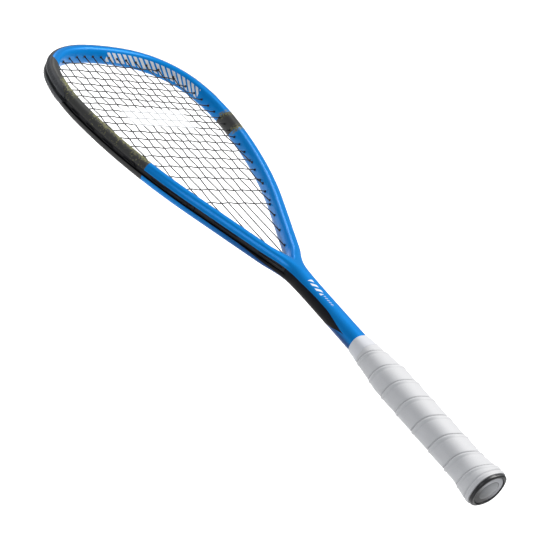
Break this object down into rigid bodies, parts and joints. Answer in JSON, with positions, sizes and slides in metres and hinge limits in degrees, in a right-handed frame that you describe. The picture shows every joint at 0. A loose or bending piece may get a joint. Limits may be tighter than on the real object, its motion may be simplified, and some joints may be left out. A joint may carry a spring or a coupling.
{
  "type": "squash racket",
  "caption": "Teardrop-headed squash racket: blue one-piece frame with bumper guard and grommet strips, black woven strings and a white cushion grip.",
  "frame": {"origin": "centre of the flat end of the butt, on the badge", "axes": "+Y along the shaft from the butt to the tip of the head, +Z square to the string bed, +X across the head"},
  "size_m": [0.216, 0.686, 0.036],
  "materials": {
    "frame_paint": "clear-lacquered azure paint with charcoal panels over graphite composite",
    "guard_nylon": "moulded black nylon",
    "string": "black coated multifilament with a white ink mark",
    "pallet_foam": "rigid moulded foam",
    "cap_plastic": "semi-gloss black moulding",
    "badge": "silver-grey domed resin",
    "staple_steel": "plain steel wire",
    "plug_foam": "grey foam",
    "grip_cushion": "white cushioned synthetic leather, spiral wrapped",
    "grip_tape": "white stretch tape"
  },
  "bodies": {
    "root": {"frame": "frame_paint", "bumper_guard": "guard_nylon", "right_side_grommets": "guard_nylon", "left_side_grommets": "guard_nylon", "right_throat_grommets": "guard_nylon", "left_throat_grommets": "guard_nylon", "mains_string": "string", "crosses_string": "string", "right_mains_knot": "string", "left_mains_knot": "string", "upper_crosses_knot": "string", "lower_crosses_knot": "string", "right_pallet": "pallet_foam", "left_pallet": "pallet_foam", "butt_cap": "cap_plastic", "butt_badge": "badge", "right_cap_staple": "staple_steel", "left_cap_staple": "staple_steel", "handle_plug": "plug_foam", "cushion_grip": "grip_cushion", "finishing_tape": "grip_tape"}
  },
  "joints": []
}
